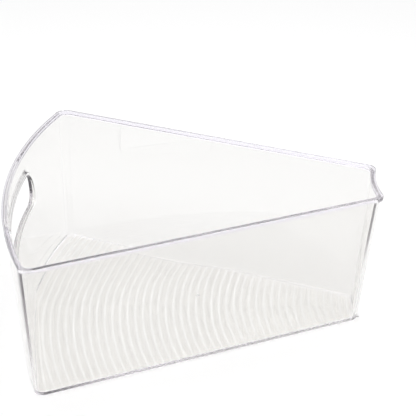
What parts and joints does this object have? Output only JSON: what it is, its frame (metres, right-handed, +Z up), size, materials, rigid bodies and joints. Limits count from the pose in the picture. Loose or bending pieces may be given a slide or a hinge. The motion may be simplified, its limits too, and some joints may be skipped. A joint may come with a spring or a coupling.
{
  "type": "fridge bin",
  "caption": "Clear wedge-shaped open-top storage bin with drafted walls, a rolled lip, a ribbed floor and a hand hole in its curved wide end.",
  "frame": {"origin": "middle of the overall footprint, on the surface the bin stands on", "axes": "+X along the bin towards the wide, handled end; +Z up, out of the open top; +Y to the left when looking from the narrow end"},
  "size_m": [0.2602, 0.2596, 0.102],
  "materials": {
    "clear_plastic": "polished, clear and colourless with a faint violet-grey edge"
  },
  "bodies": {
    "root": {"floor_panel": "clear_plastic", "left_wall": "clear_plastic", "right_wall": "clear_plastic", "inner_end_wall": "clear_plastic", "handle_end_wall": "clear_plastic", "grip_collar": "clear_plastic", "rim_lip": "clear_plastic"}
  },
  "joints": []
}
